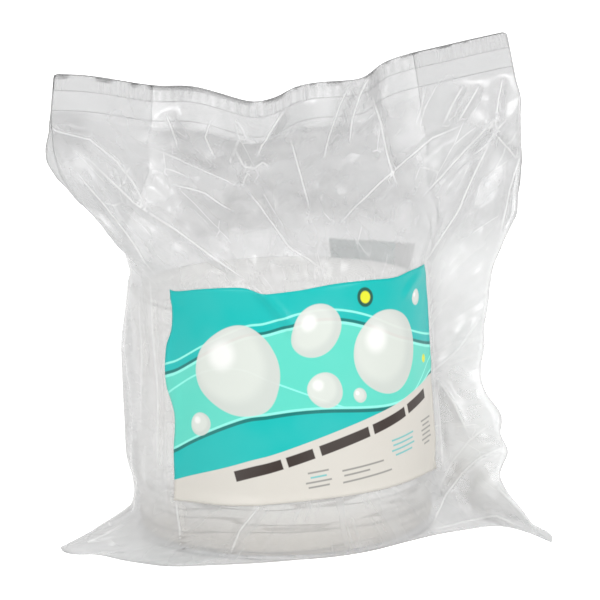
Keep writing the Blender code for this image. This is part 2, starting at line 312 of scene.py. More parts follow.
# The front label's edges, from the photograph: the height of the top and bottom edge by angle round
# the roll, and the angle of the left and right edge by height
LABEL_TOP_EDGE = (
    (209.0, 0.1630),
    (213.0, 0.1625),
    (224.7, 0.1655),
    (235.0, 0.1672),
    (242.6, 0.1672),
    (249.5, 0.1642),
    (259.0, 0.1648),
    (274.9, 0.1672),
    (288.6, 0.1672),
    (303.6, 0.1655),
    (313.5, 0.1665),
    (332.0, 0.1660),
)
LABEL_BOTTOM_EDGE = (
    (209.0, 0.0325),
    (217.6, 0.0337),
    (235.9, 0.0341),
    (264.1, 0.0368),
    (293.4, 0.0373),
    (321.6, 0.0370),
    (335.8, 0.0345),
)
LABEL_LEFT_EDGE = (
    (0.032, 209.2),
    (0.0475, 209.9),
    (0.067, 210.0),
    (0.089, 211.2),
    (0.1055, 208.2),
    (0.1286, 208.4),
    (0.141, 211.0),
    (0.156, 211.3),
    (0.165, 209.6),
)
LABEL_RIGHT_EDGE = ((0.033, 335.6), (0.079, 332.4), (0.1245, 330.2), (0.167, 328.2))
LABEL_ACROSS = 0.203
LABEL_TALL = 0.129
LABEL_FOOT = 0.035
LABEL_WALL = 0.00015
LABEL_GAP = 0.0005
LABEL_CELLS = (120, 76)
INSIDE_ROLL = 0.06

# The label's inks, and where its plain shapes lie, in millimetres from its lower left corner
TEAL = (0.0, 0.455, 0.43)
DARK_TEAL = (0.0, 0.165, 0.15)
MINT = (0.11, 0.63, 0.51)
PALE_MINT = (0.27, 0.83, 0.72)
PALE = (0.71, 0.69, 0.65)
PALE_SHADE = (0.42, 0.46, 0.44)
PALE_LIT = (0.88, 0.88, 0.86)
BAND = (0.63, 0.60, 0.55)
DARK_PRINT = (0.035, 0.022, 0.018)
DARK_GREEN = (0.01, 0.09, 0.06)
YELLOW = (0.72, 0.74, 0.03)
FINE_INKS = {"grey": (0.30, 0.29, 0.27), "teal": (0.18, 0.50, 0.50)}
WORN_PRINT = (0.80, 0.85, 0.83)
PRINT_GRAIN = 180.0
BROAD_GRAIN = 0.12
# Each wave: its height at the left, its climb, its swell, its length, its start, and the ink below it
WAVES = (
    (96.0, 0.03, 17.0, 250.0, -0.75, PALE_MINT),
    (94.6, 0.03, 17.0, 250.0, -0.75, TEAL),
    (90.5, 0.03, 17.0, 250.0, -0.75, DARK_TEAL),
    (88.6, 0.03, 17.0, 250.0, -0.75, PALE_MINT),
    (86.8, 0.03, 17.0, 250.0, -0.75, MINT),
    (60.0, 0.05, 20.0, 210.0, 0.35, PALE_MINT),
    (58.8, 0.05, 20.0, 210.0, 0.35, MINT),
    (35.0, 0.17, 10.0, 215.0, -0.2, PALE_MINT),
    (33.4, 0.17, 10.0, 215.0, -0.2, DARK_TEAL),
    (31.2, 0.17, 10.0, 215.0, -0.2, TEAL),
)
BAND_LINE = (14.0, 0.225, 2.2, 400.0, -0.6)
BAR_LEAN = 13.0
BUBBLES = (
    (50.0, 80.0, 27.0),
    (99.0, 103.0, 16.0),
    (150.0, 84.0, 26.0),
    (103.0, 66.0, 11.0),
    (20.0, 48.0, 7.0),
    (182.0, 112.0, 5.0),
    (125.0, 60.0, 4.5),
)
YELLOW_SPOT = (133.0, 119.0, 6.0)
SMALL_YELLOW_SPOT = (190.0, 72.0, 2.6)
DARK_BAR_HALF = 3.2
DARK_BARS = (
    (58.0, 20.5, 15.0),
    (84.0, 26.5, 8.5),
    (113.0, 33.2, 17.0),
    (147.0, 41.0, 14.5),
    (176.0, 47.7, 12.0),
)
FINE_BAR_HALF = 0.55
FINE_BAR_LEAN = 4.0
FINE_BARS = (
    (94.0, 17.0, 6.5, "grey"),
    (94.0, 14.0, 5.0, "teal"),
    (94.0, 11.0, 8.0, "grey"),
    (94.0, 8.0, 6.5, "grey"),
    (124.0, 16.5, 15.0, "grey"),
    (119.0, 13.0, 9.0, "grey"),
    (127.0, 9.5, 18.0, "grey"),
    (158.0, 29.0, 11.0, "teal"),
    (158.0, 25.8, 10.0, "teal"),
    (158.0, 22.6, 11.5, "teal"),
    (158.0, 19.4, 8.5, "teal"),
    (188.0, 34.0, 8.0, "grey"),
    (188.0, 31.0, 6.0, "grey"),
    (188.0, 28.0, 8.0, "grey"),
    (188.0, 25.0, 7.0, "grey"),
    (188.0, 22.0, 8.0, "grey"),
    (188.0, 19.0, 5.0, "grey"),
)

# The film: its veil seen face on and seen along its face, its gloss, and how much light it lets in
FILM_VEIL = 0.33
FILM_EDGE_VEIL = 0.68
VEIL_BLEND = 0.42
VEIL_BLOOM = (-0.02, 0.04)
FILM_IOR = 1.5
FILM_GLOSS = 0.5
FILM_ROUGHNESS = (0.20, 0.30)
LIGHT_LET_IN = 0.90

# The film's colours: all over, darker as painted shade where only its two faces lie over each other and in
# its top left corner, lighter as painted light on the loose wing, and whitened as painted highlight on its
# creases; then where the painted shade and light lie
FILM_COLOUR = (0.560, 0.561, 0.562)
THIN_PAINTED_SHADE_COLOUR = (0.445, 0.446, 0.447)
WING_PAINTED_LIGHT_COLOUR = (0.700, 0.701, 0.700)
CREASE_HIGHLIGHT_COLOUR = (0.90, 0.90, 0.90)
THIN_MIDDLE = 0.008
THIN_SIDE = (0.068, 0.090)
THIN_HEIGHT = (0.160, 0.215)
CORNER_SIDE = (-0.125, -0.110)
CORNER_HEIGHT = (0.235, 0.250)
CORNER_SHARE = 0.8
WING_SIDE = (0.084, 0.100)
WING_TOP = (0.150, 0.195)
WING_HEIGHT = (0.008, 0.035)

# The film's fine crumples, which run outwards from a point in the roll: that point's height, the cells
# in a radian, a metre deep and a metre out, how far they rise, and the width and places of the fine creases
# that get a painted highlight
FAN_FOOT = 0.08
FAN_SCALE = (8.0, 30.0, 14.0)
CRUMPLE_RISE = 0.0025
CREASE_LINE = 0.022
CREASE_PLACES = (0.53, 0.63)
TONE_SCALE = 1.3

# The top seal: its ribs round the film, its ribbed band and second line as shares of the film's
# length, and their widths
SEAL_RIBS = 150.0
SEAL_BAND = 0.954
SECOND_SEAL = 0.898
SEAL_LINE = 0.0016
BAND_EDGE = 0.001
SEAL_FADE = 0.010

# How wide a fold's line is; how much the folds and fine creases brighten the film as painted highlight and
# veil it there; how much the seal's ribs and lines veil it; and how much the marks raise the film
FOLD_LINE = 0.018
FOLD_PAINTED_HIGHLIGHT = 0.75
CREASE_PAINTED_HIGHLIGHT = 0.30
HIGHLIGHT_VEIL = 0.30
RIB_VEIL = 0.06
SEAM_VEIL = 0.08
FOLD_RISE = 0.0006
RIB_RISE = 0.0003

# The web's colours, and where its rim, its foot and its wrinkles are: painted shade between the wound
# turns, a painted shadow along the rim, painted shade darkening it towards the foot, and painted shade in
# the wrinkles
WEB_COLOUR = (0.90, 0.88, 0.85)
WEB_PALE = (0.94, 0.93, 0.91)
TURN_SHADE = (0.74, 0.72, 0.69)
RIM_SHADE = (0.46, 0.46, 0.44)
FOOT_PAINTED_SHADE = (0.44, 0.395, 0.33)
WRINKLE_SHADE = (0.22, 0.19, 0.15)
WEB_GRAIN = 420.0
WEB_STRETCH = (1.0, 1.0, 2.2)
RIM_WIDTHS = (0.0055, 0.002)
FOOT_SHADE_HEIGHTS = (0.006, 0.048)
WRINKLE_SCALE = (7.0, 7.0, 105.0)
WRINKLE_WIDTH = 0.034
WRINKLED_HEIGHTS = (0.030, 0.050)
WRINKLES_ABOVE = 0.12

# The web's wound turns, the slack that leaves the roll inside its outline, and its unevenness
WEB_STEP = 0.0026
ROLL_SLACK = 0.0006
ROLL_WRINKLE = 0.0012
ROLL_DENT = 0.0022
ROLL_SIDES = 180
ROLL_CUTS = 47
ROLL_INSETS = (0.0008, 0.0016, 0.0026) + (0.0045,) * 17
ROLL_SKIN = 0.004
RIM_START = 0.007
RIM_END = 0.001
RIM_HEIGHT = 0.006
RIM_DROP = 0.0028
RIM_ROUND = 0.0022
TURN_STEP = 0.0105
TURN_DEPTH = 0.0009

# The back label, from the frame, and its inks
BACK_LABEL_LOW, BACK_LABEL_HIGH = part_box("back_label")
BACK_LABEL_ACROSS = 0.064
BACK_LABEL_TALL = BACK_LABEL_HIGH.z - BACK_LABEL_LOW.z
BACK_LABEL_START = 19.0
BACK_LABEL_RADIUS = 0.104
BACK_LABEL_CELLS = (40, 60)
BACK_GREEN = (0.08, 0.20, 0.17)
BACK_LINES = (0.02, 0.33, 0.29)
BACK_PANEL = (0.62, 0.60, 0.56)
BACK_END = (0.24, 0.24, 0.22)

# The lamps: place, what they point at, side and power
LAMPS = {
    "key": ((1.2, -1.75, 0.8), (0.0, 0.0, 0.15), 0.5, 13.5),
    "fill": ((-1.5, -1.4, 0.8), (0.0, 0.0, 0.15), 0.6, 12.5),
    "top": ((0.15, -0.6, 1.65), (0.0, 0.0, 0.2), 0.15, 2.5),
    "rear": ((0.5, 1.9, 0.9), (0.0, 0.0, 0.15), 0.9, 5.0),
}
SURROUND_LIGHT = 0.74
FLOOR_GLOW = 0.60


def clamp(value, low=0.0, high=1.0):
    return min(max(value, low), high)


def smooth(value, start, end):
    """0 up to start, 1 from end on, and an even curve between."""
    share = clamp((value - start) / (end - start))
    return share * share * (3.0 - 2.0 * share)


def between(value, limits):
    """0 outside the first and last limit, 1 between the middle two, with even curves."""
    return smooth(value, limits[0], limits[1]) * (1.0 - smooth(value, limits[2], limits[3]))


def read_off(table, at):
    """Reads a table of (place, value, ...) at a place, with a smooth line through its rows."""
    count = len(table)
    row = 0
    while row < count - 2 and table[row + 1][0] < at:
        row += 1
    a, b = table[row], table[row + 1]
    before = table[max(row - 1, 0)]
    after = table[min(row + 2, count - 1)]
    share = clamp((at - a[0]) / (b[0] - a[0]))
    values = []
    for k in range(1, len(a)):
        slope_a = (b[k] - before[k]) / max(b[0] - before[0], 1e-6) * (b[0] - a[0])
        slope_b = (after[k] - a[k]) / max(after[0] - a[0], 1e-6) * (b[0] - a[0])
        s2, s3 = share * share, share**3
        value = (2 * s3 - 3 * s2 + 1) * a[k] + (s3 - 2 * s2 + share) * slope_a
        values.append(value + (3 * s2 - 2 * s3) * b[k] + (s3 - s2) * slope_b)
    return values[0] if len(values) == 1 else values


def around(radius, degrees):
    turn = math.radians(degrees)
    return Vector((radius * math.cos(turn), radius * math.sin(turn)))


def arc(radius, start, end):
    steps = max(int(abs(end - start)), 1)
    return [around(radius, start + (end - start) * i / steps) for i in range(steps + 1)]


def bezier(start, pull_start, pull_end, end, steps=14):
    points = []
    for i in range(steps + 1):
        t = i / steps
        s = 1.0 - t
        points.append(s**3 * start + 3 * s * s * t * pull_start + 3 * s * t * t * pull_end + t**3 * end)
    return points


def rounded(points, steps=10):
    """A smooth line through points in plan."""
    points = [Vector(point) for point in points]
    line = [points[0]]
    for i in range(len(points) - 1):
        a, b = points[i], points[i + 1]
        before = points[max(i - 1, 0)]
        after = points[min(i + 2, len(points) - 1)]
        line += bezier(a, a + (b - before) / 6, b - (after - a) / 6, b, steps)[1:]
    return line


def stations(line, count):
    """Count + 1 points at even distances along a line, ends included."""
    lengths = [0.0]
    for a, b in zip(line, line[1:]):
        lengths.append(lengths[-1] + (b - a).length)
    points = []
    at = 0
    for i in range(count + 1):
        along = lengths[-1] * i / count
        while at < len(line) - 2 and lengths[at + 1] < along:
            at += 1
        span = max(lengths[at + 1] - lengths[at], 1e-9)
        points.append(line[at].lerp(line[at + 1], clamp((along - lengths[at]) / span)))
    return points


def ring_of(front, right, back, left):
    """One ring of points: the front face, the right gusset, the back face and the left gusset."""
    ring = stations(front, FACE_COLUMNS)
    ring += stations(right, 2 * PLEAT_COLUMNS)[1:-1]
    ring += stations(back, FACE_COLUMNS)
    ring += stations(left, 2 * PLEAT_COLUMNS)[1:-1]
    return ring


def outside_roll(point):
    """The point itself, or the nearest one on the film's circle where it would cut into the roll."""
    return point * max(FILM_RADIUS / max(point.length, 1e-6), 1.0)


def stand_off(ring, height):
    """Lets the film stand off the roll in soft upright folds on the left."""
    strength = LEFT_BULGE * between(height, LEFT_BULGE_HEIGHTS)
    moved = []
    for point in ring:
        degrees = math.degrees(math.atan2(point.y, point.x)) % 360.0
        wave = math.cos(math.radians(degrees) * LEFT_RIPPLES + height * RIPPLE_TWIST)
        ripple = 1.0 - RIPPLE_DEPTH + RIPPLE_DEPTH * wave
        moved.append(point + point.normalized() * strength * between(degrees, LEFT_BULGE_ANGLES) * ripple)
    return moved


def round_roll_ring(height):
    """The film round the roll, with the loose wing of film on the right."""
    tip = Vector(read_off(RIGHT_EDGE, min(height, HUG_TOP)))
    root = around(FILM_RADIUS, WING_ROOT_ANGLE)
    reach = (tip - root).length
    wing = bezier(root, root + 0.3 * reach * around(1.0, WING_ROOT_ANGLE + 90), tip.lerp(root, 0.45), tip)
    front = arc(FILM_RADIUS, FRONT_FOLD_ANGLE, WING_ROOT_ANGLE) + wing[1:]
    touch = math.degrees(math.atan2(tip.y, tip.x) + math.acos(FILM_RADIUS / tip.length))
    heel = around(FILM_RADIUS, touch)
    inner = root.lerp(heel, GUSSET_LEAN).lerp(tip, GUSSET_STOP)
    fold = tip + (heel - tip).normalized() * BACK_FOLD_STEP
    back = [fold, heel] + arc(FILM_RADIUS, touch, BACK_FOLD_ANGLE)[1:]
    left = arc(FILM_RADIUS, BACK_FOLD_ANGLE, FRONT_FOLD_ANGLE)
    return stand_off(ring_of(front, [tip, inner, fold], back, left), height)


def foot_ring():
    """The film's outline where it meets the table."""
    return ring_of(rounded(FRONT_FOOT), rounded(RIGHT_FOOT), rounded(BACK_FOOT), rounded(LEFT_FOOT))


def sealed_ring(line):
    """The flat end of the tube along a line: both faces together, the gussets folded in between."""
    line = rounded(line)
    fine = stations(line, 100)
    share = round(100 * GUSSET_DEPTH / FACE_WIDTH)

    def beside(points, gaps):
        return [point + Vector((0.0, -LAYER_GAP * gaps)) for point in points]

    front = beside(fine, 1.5)
    back = beside(fine, -1.5)[::-1]
    right = beside(fine[-share:], 0.5)[::-1] + beside(fine[-share:], -0.5)
    left = beside(fine[:share], -0.5) + beside(fine[:share], 0.5)[::-1]
    return ring_of(front, right, back, left)


def film_rows():
    """Every ring of the film in turn, from the bottom seal under the roll to the top seal."""
    foot = foot_ring()
    below = sealed_ring(BOTTOM_SEAL)
    top = sealed_ring(((LEFT_EDGE[-1][1], 0.0), (RIGHT_EDGE[-1][1], 0.0)))
    under = FILM_WALL
    rows = []
    for row in range(ROWS_BELOW):
        share = row / ROWS_BELOW
        rows.append([Vector((*a.lerp(b, share), under)) for a, b in zip(below, foot)])
    for row in range(ROWS_AT_EARS):
        height = EAR_TOP * row / ROWS_AT_EARS
        hug = round_roll_ring(EAR_TOP)
        ring = []
        for low, mid in zip(foot, hug):
            ear = EAR_SPREAD[0] + EAR_SPREAD[1] * smooth(low.x, -0.04, 0.05)
            rise = smooth(height, -0.5 * ear, ear) if row else 0.0
            ring.append(Vector((*outside_roll(low.lerp(mid, rise)), height + under)))
        rows.append(ring)
    for row in range(ROWS_ROUND_ROLL):
        height = EAR_TOP + (HUG_TOP - EAR_TOP) * row / ROWS_ROUND_ROLL
        rows.append([Vector((*point, height)) for point in round_roll_ring(height)])
    hug = round_roll_ring(HUG_TOP)
    for row in range(ROWS_OF_SHOULDER + ROWS_OF_SEAL + 1):
        rows.append(shoulder_row(row, hug, top))
    return rows


def shoulder_row(row, hug, top):
    """A ring above the roll, where the film spreads sideways and closes to the flat top seal."""
    if row < ROWS_OF_SHOULDER:
        height = HUG_TOP + (SEAL_FOOT - HUG_TOP) * row / ROWS_OF_SHOULDER
    else:
        height = SEAL_FOOT + (BAG_TOP - SEAL_FOOT) * (row - ROWS_OF_SHOULDER) / ROWS_OF_SEAL
    close = clamp((height - HUG_TOP) / (SEAL_FOOT - HUG_TOP))
    spread = smooth(height, HUG_TOP, HUG_TOP + SHOULDER_RISE)
    ring = []
    for low, high in zip(hug, top):
        ring.append(Vector((low.x + (high.x - low.x) * spread, low.y + (high.y - low.y) * close)))
    left_end = min(point.x for point in ring)
    right_end = max(point.x for point in ring)
    left_want = read_off(LEFT_EDGE, height)
    right_want = read_off(RIGHT_EDGE, height)[0]
    placed = []
    for point in ring:
        x = point.x * (right_want / right_end if point.x > 0 else left_want / left_end)
        drop = (BAG_TOP - read_off(TOP_EDGE, x)) * close * close
        y = point.y + read_off(TOP_WAVE, x) * close * close
        placed.append(Vector((x, y, height - drop)))
    return placed


def film_pairs():
    """Which columns lie against each other in a seal, as runs of pairs."""
    right = FACE_COLUMNS + PLEAT_COLUMNS
    back = FACE_COLUMNS + 2 * PLEAT_COLUMNS
    left = back + FACE_COLUMNS
    pleat = range(PLEAT_COLUMNS + 1)
    return (
        [(k, (ROUND_COLUMNS - k) % ROUND_COLUMNS) for k in pleat],
        [(left - k, left + k) for k in pleat],
        [(FACE_COLUMNS - k, FACE_COLUMNS + k) for k in pleat],
        [(back + k, back - k) for k in pleat],
        [(PLEAT_COLUMNS + k, left - PLEAT_COLUMNS - k) for k in range(MIDDLE_COLUMNS + 1)],
        [(PLEAT_COLUMNS, left + PLEAT_COLUMNS), (left - PLEAT_COLUMNS, left + PLEAT_COLUMNS)],
        [(FACE_COLUMNS - PLEAT_COLUMNS, right), (back + PLEAT_COLUMNS, right)],
    )


def close_seal(shape, ring):
    """Joins the layers of one end of the tube along its very edge."""
    for run in film_pairs():
        for (a, b), (c, d) in zip(run, run[1:]):
            corners = []
            for at in (a, c, d, b):
                if ring[at] not in corners:
                    corners.append(ring[at])
            bmesh.ops.contextual_create(shape, geom=corners)


def make_film_tube():
    """The film as a grid of cells rolled into a tube, each point moved to its place."""
    rows = film_rows()
    shape = bmesh.new()
    shape.loops.layers.uv.new("film")
    bmesh.ops.create_grid(
        shape,
        x_segments=ROUND_COLUMNS,
        y_segments=len(rows) - 1,
        size=1.0,
        calc_uvs=True,
    )
    place = shape.verts.layers.int.new("place")
    for vert in shape.verts:
        column = round((vert.co.x + 1.0) / 2.0 * ROUND_COLUMNS) % ROUND_COLUMNS
        row = round((vert.co.y + 1.0) / 2.0 * (len(rows) - 1))
        vert.co = rows[row][column]
        vert[place] = row * ROUND_COLUMNS + column
    seam = [vert for vert in shape.verts if vert.is_boundary]
    bmesh.ops.remove_doubles(shape, verts=seam, dist=0.00001)
    for row in (0, len(rows) - 1):
        rim = {vert[place] - row * ROUND_COLUMNS: vert for vert in shape.verts}
        close_seal(shape, rim)
    bmesh.ops.recalc_face_normals(shape, faces=shape.faces)
    return shape


def object_from(name, shape, smooth_shaded=True):
    mesh = bpy.data.meshes.new(name)
    shape.to_mesh(mesh)
    shape.free()
    if smooth_shaded:
        mesh.shade_smooth()
    made = bpy.data.objects.new(name, mesh)
    bpy.context.scene.collection.objects.link(made)
    return made


def apply_modifiers(thing):
    """Replaces the object's mesh with the mesh that its modifiers make."""
    graph = bpy.context.evaluated_depsgraph_get()
    graph.update()
    finished = bpy.data.meshes.new_from_object(thing.evaluated_get(graph))
    thing.modifiers.clear()
    thing.data = finished
    finished.name = thing.name


def make_roll_stand_in():
    """A plain cylinder for the film to fall against."""
    shape = bmesh.new()
    bmesh.ops.create_cone(
        shape,
        cap_ends=True,
        segments=96,
        radius1=ROLL_RADIUS,
        radius2=ROLL_RADIUS,
        depth=ROLL_TOP - ROLL_FOOT,
    )
    bmesh.ops.translate(shape, verts=shape.verts, vec=(0.0, 0.0, (ROLL_TOP + ROLL_FOOT) / 2))
    return object_from("roll_stand_in", shape)


def film_hold(point):
    """How firmly a point of the film is held in the simulation, 0 to 1."""
    if point.z < HELD_FOOT or point.z > HELD_SEAL + (read_off(TOP_EDGE, point.x) - BAG_TOP):
        return 1.0
    degrees = math.degrees(math.atan2(point.y, point.x)) % 360.0
    return between(degrees, HELD_ANGLES) * between(point.z, HELD_HEIGHTS)


def film_slack(point):
    """Where the film has length to spare, 0 to 1."""
    return max(smooth(point.z, *SLACK_HEIGHTS), smooth(point.x, *SLACK_WING), LEAST_SLACK)


def crumple(film):
    """A short cloth simulation: the film has a little more length than its outline needs."""
    stand_in = make_roll_stand_in()
    stand_in.modifiers.new("roll", "COLLISION")
    stand_in.collision.thickness_outer = SIM_GAP
    held = film.vertex_groups.new(name="held")
    slack = film.vertex_groups.new(name="slack")
    for vert in film.data.vertices:
        hold = film_hold(vert.co)
        spare = film_slack(vert.co)
        held.add([vert.index], hold, "REPLACE")
        slack.add([vert.index], spare, "REPLACE")
        at = vert.co * SIM_WAVE_SCALE
        wave = Vector((noise.noise(at), noise.noise(at + Vector((9.0, 3.0, 1.0))), 0.0))
        vert.co += wave * SIM_START_WAVES * (1.0 - hold) * smooth(spare, 0.8, 1.0)
    cloth = film.modifiers.new("cloth", "CLOTH")
    for key, value in CLOTH.items():
        setattr(cloth.settings, key, value)
    cloth.settings.effector_weights.gravity = CLOTH_GRAVITY
    cloth.collision_settings.distance_min = SIM_GAP
    cloth.collision_settings.collision_quality = 2
    cloth.point_cache.frame_start = 1
    cloth.point_cache.frame_end = SIM_FRAMES
    for at in range(1, SIM_FRAMES + 1):
        bpy.context.scene.frame_set(at)
    apply_modifiers(film)
    film.vertex_groups.clear()
    bpy.data.objects.remove(stand_in, do_unlink=True)
    bpy.context.scene.frame_set(1)


def camera_axes():
    """The camera's place and its right, up and backward directions."""
    turn = math.radians(CAMERA_AZIMUTH)
    lift = math.radians(CAMERA_ELEVATION)
    lean = math.radians(CAMERA_ROLL)
    back = Vector((math.sin(turn) * math.cos(lift), -math.cos(turn) * math.cos(lift), math.sin(lift)))
    level = Vector((math.cos(turn), math.sin(turn), 0.0))
    upright = back.cross(level)
    right = level * math.cos(lean) - upright * math.sin(lean)
    up = level * math.sin(lean) + upright * math.cos(lean)
    aim = level * CAMERA_AIM_SIDE + Vector((0.0, 0.0, CAMERA_AIM_HEIGHT))
    return aim + back * CAMERA_DISTANCE, right, up, back


def in_photo(point, axes):
    """Where a point of the object lies in the photograph, in its pixels."""
    place, right, up, back = axes
    ray = point - place
    scale = CAMERA_FOCAL_PIXELS / -ray.dot(back)
    return Vector((PHOTO_SIZE / 2 + ray.dot(right) * scale, PHOTO_SIZE / 2 - ray.dot(up) * scale))


def near_fold(pixel, fold):
    """How far one fold lifts the film at a pixel, how far off its line that is, and its strength there."""
    rise, left_reach, right_reach, line = fold
    reach = max(left_reach, right_reach)
    nearest = reach
    lift, offset, strength = 0.0, reach, 0.0
    count = len(line) - 1
    for i in range(count):
        a = Vector(line[i])
        run = Vector(line[i + 1]) - a
        share = clamp((pixel - a).dot(run) / run.length_squared)
        off = pixel - a - run * share
        distance = off.length
        if distance < nearest:
            nearest = distance
            side = math.copysign(1.0, run.x * off.y - run.y * off.x)
            along = (i + share) / count
            fade = smooth(along, *FOLD_END_FADE) * smooth(1.0 - along, *FOLD_END_FADE)
            lift = rise * max(1.0 - distance / (right_reach if side < 0 else left_reach), 0.0) * fade
            offset = distance * side
            strength = clamp(abs(rise) / STRONG_FOLD) * fade
    return lift, offset, strength


def facets(point, size):
    """1 on the edges between facets of crumpled film, falling to 0 inside them."""
    near, far = noise.voronoi(point / size)[0][:2]
    return max(1.0 - (far - near) / FACET_FLANK, 0.0)


def fold_boxes():
    """The part of the photograph that each fold can reach: left, right, top and foot, in pixels."""
    boxes = {}
    for name, (_rise, left, right, line) in FOLDS.items():
        reach = max(left, right)
        xs = [x for x, _y in line]
        ys = [y for _x, y in line]
        boxes[name] = (min(xs) - reach, max(xs) + reach, min(ys) - reach, max(ys) + reach)
    return boxes


def looseness(point):
    """How freely the film can crumple at a point, 0 to 1."""
    wing = WING_LOOSENESS * smooth(point.x, *LOOSE_WING)
    loose = max(smooth(point.z, *LOOSE_ABOVE), wing, LEAST_LOOSENESS)
    loose *= smooth(point.z, *LOOSE_FOOT) * (1.0 - SEAL_STIFFNESS * smooth(point.z, *SEAL_STIFF))
    corner = smooth(-point.x, *CORNER_FLAT) * smooth(point.z, *CORNER_FLAT_HEIGHT)
    return loose * (1.0 - CORNER_FLATNESS * corner)


def folds_at(point, axes, boxes):
    """How far the folds lift the film at a point, how far off the nearest line is, and its strength."""
    pixel = in_photo(point, axes)
    lift, offset, strength = 0.0, 1.0, 0.0
    for name, fold in FOLDS.items():
        left, right, top, foot = boxes[name]
        if left < pixel.x < right and top < pixel.y < foot:
            rise, off, strong = near_fold(pixel, fold)
            lift += rise
            if strong > 0.0 and abs(off) < abs(offset * FOLD_MARK_UNIT):
                offset, strength = off / FOLD_MARK_UNIT, strong
    return lift, offset, strength


def crease(film):
    """Adds the film's folds and facets to the mesh, and marks the folds' lines for its material."""
    axes = camera_axes()
    back = axes[3]
    boxes = fold_boxes()
    moves, offsets, strengths, loosenesses = [], [], [], []
    for vert in film.data.vertices:
        point, normal = vert.co, vert.normal
        together = smooth(point.z, *FACES_MEET)
        front = 1.0 if normal.dot(back) > 0.0 else together
        lift, offset, strength = 0.0, 1.0, 0.0
        if front > 0.0 and point.z > LOWEST_FOLD:
            lift, offset, strength = folds_at(point, axes, boxes)
        loose = looseness(point)
        shift = FACET_RISE * facets(point, FACET_SIZE) + SMALL_FACET_RISE * facets(point, SMALL_FACET_SIZE)
        way = normal.lerp(back, together)
        moves.append(way * (shift * loose) + back * (lift * front))
        offsets.append(offset)
        strengths.append(strength * front * (1.0 - smooth(abs(offset), *FOLD_MARK_FADE)))
        loosenesses.append(loose)
    for vert, move in zip(film.data.vertices, moves):
        moved = vert.co + move
        if moved.z < ROLL_TOP + ROLL_CLEAR:
            plan = outside_roll(moved.xy)
            moved.x, moved.y = plan.x, plan.y
        vert.co = moved
    for name, values in (("fold_offset", offsets), ("fold_strength", strengths), ("loose", loosenesses)):
        film.data.attributes.new(name, "FLOAT", "POINT").data.foreach_set("value", values)


def make_film():
    film = object_from("film", make_film_tube())
    crumple(film)
    finer = film.modifiers.new("finer", "SUBSURF")
    finer.levels = 1
    finer.render_levels = 1
    apply_modifiers(film)
    crease(film)
    film.data.shade_smooth()
    return film


def surface_of(film):
    """The film as a search tree, for laying things on it."""
    shape = bmesh.new()
    shape.from_mesh(film.data)
    tree = BVHTree.FromBMesh(shape)
    shape.free()
    return tree


def on_film(tree, degrees, height, gap):
    """The point a gap outside the film at this angle round the roll and this height."""
    way = Vector((*around(1.0, degrees), 0.0))
    hit = tree.ray_cast(Vector((0.0, 0.0, height)) + way * INSIDE_ROLL, way)[0]
    if hit is None:
        hit = Vector((*around(FILM_RADIUS, degrees), height))
    return hit + way * gap


def make_label(name, tree, place, cells):
    """A thin sheet laid on the film: place turns shares across and up into an angle and a height."""
    shape = bmesh.new()
    shape.loops.layers.uv.new("label")
    bmesh.ops.create_grid(shape, x_segments=cells[0], y_segments=cells[1], size=1.0, calc_uvs=True)
    for vert in shape.verts:
        degrees, height = place((vert.co.x + 1.0) / 2.0, (vert.co.y + 1.0) / 2.0)
        vert.co = on_film(tree, degrees, height, LABEL_GAP)
    bmesh.ops.recalc_face_normals(shape, faces=shape.faces)
    label = object_from(name, shape)
    add_wall(label, LABEL_WALL, 1.0)
    return label


def front_label_place(across, up):
    """The front label's point at these shares, by its four wavy edges."""
    middle_height = LABEL_FOOT + up * LABEL_TALL
    left = read_off(LABEL_LEFT_EDGE, middle_height)
    right = read_off(LABEL_RIGHT_EDGE, middle_height)
    degrees = left + (right - left) * across
    low = read_off(LABEL_BOTTOM_EDGE, degrees)
    high = read_off(LABEL_TOP_EDGE, degrees)
    return degrees, low + (high - low) * up


def back_label_place(across, up):
    """The back label's point at these shares: a plain upright panel."""
    degrees = BACK_LABEL_START + across * math.degrees(BACK_LABEL_ACROSS / BACK_LABEL_RADIUS)
    return degrees, BACK_LABEL_LOW.z + BACK_LABEL_TALL * up


def add(tree, kind, inputs=None, **settings):
    """Adds a node, sets its settings, and gives each named input a value or a link."""
    made = tree.nodes.new(kind)
    for key, value in settings.items():
        setattr(made, key, value)
    for key, value in (inputs or {}).items():
        if isinstance(value, bpy.types.NodeSocket):
            tree.links.new(value, made.inputs[key])
        else:
            made.inputs[key].default_value = value
    return made


def new_material(name):
    material = bpy.data.materials.new(name)
    material.use_nodes = True
    return material, material.node_tree, material.node_tree.nodes["Principled BSDF"]


def maths(tree, operation, first, second=0.0, third=0.0):
    """One Math node's result."""
    return add(tree, "ShaderNodeMath", {0: first, 1: second, 2: third}, operation=operation).outputs[0]


def ramp(tree, value, start, end, low=0.0, high=1.0, curve="SMOOTHSTEP"):
    """A value turned from start..end into low..high, level outside them."""
    inputs = {"Value": value, "From Min": start, "From Max": end, "To Min": low, "To Max": high}
    return add(tree, "ShaderNodeMapRange", inputs, interpolation_type=curve).outputs[0]


def blend_colours(tree, share, first, second):
    """Two colours, or a colour over a painting so far, mixed by a mask."""
    mixed = add(tree, "ShaderNodeMix", data_type="RGBA")
    for socket, value in ((mixed.inputs[0], share), (mixed.inputs[6], first), (mixed.inputs[7], second)):
        if isinstance(value, bpy.types.NodeSocket):
            tree.links.new(value, socket)
        elif isinstance(value, tuple):
            socket.default_value = (*value, 1.0)
        else:
            socket.default_value = value
    return mixed.outputs[2]


